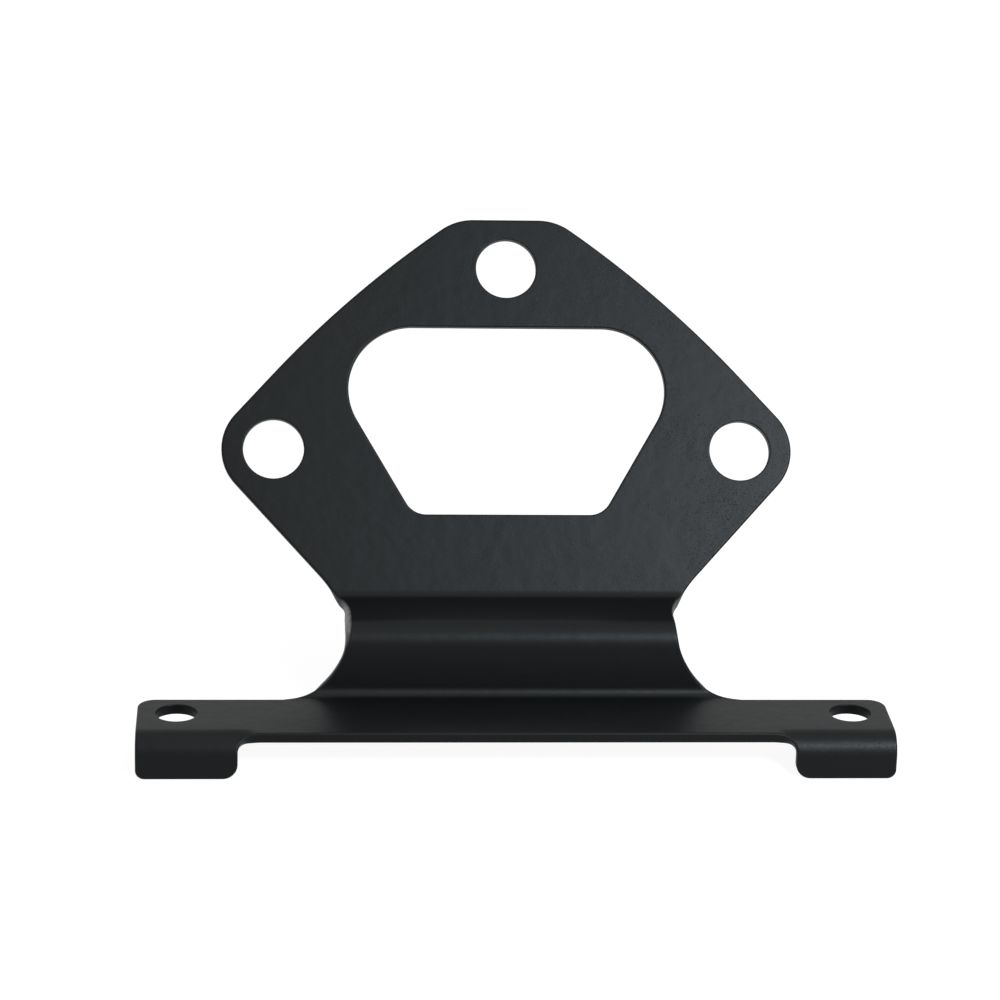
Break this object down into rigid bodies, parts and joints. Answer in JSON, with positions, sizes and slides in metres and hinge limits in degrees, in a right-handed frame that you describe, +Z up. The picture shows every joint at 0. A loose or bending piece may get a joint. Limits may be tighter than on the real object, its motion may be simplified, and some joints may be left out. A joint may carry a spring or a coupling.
{
  "type": "headlamp bracket",
  "caption": "Folded steel bracket: a wide three-lobed plate with a large window leans back above a stepped foot whose ears bolt down and fold into short tabs.",
  "frame": {"origin": "midway between the centres of the two ear holes, on the underside of the shelf", "axes": "+Z up, square to the shelf and along the ear bolts; +X to the right across the bracket; -Y is the front, the side of the folded tabs, and the plate leans back towards +Y"},
  "size_m": [0.15, 0.0806, 0.0921],
  "materials": {
    "powder_coat": "black semi-gloss powder coat over folded steel sheet, with a fine orange-peel grain"
  },
  "bodies": {
    "root": {"headlamp_bracket": "powder_coat"}
  },
  "joints": []
}
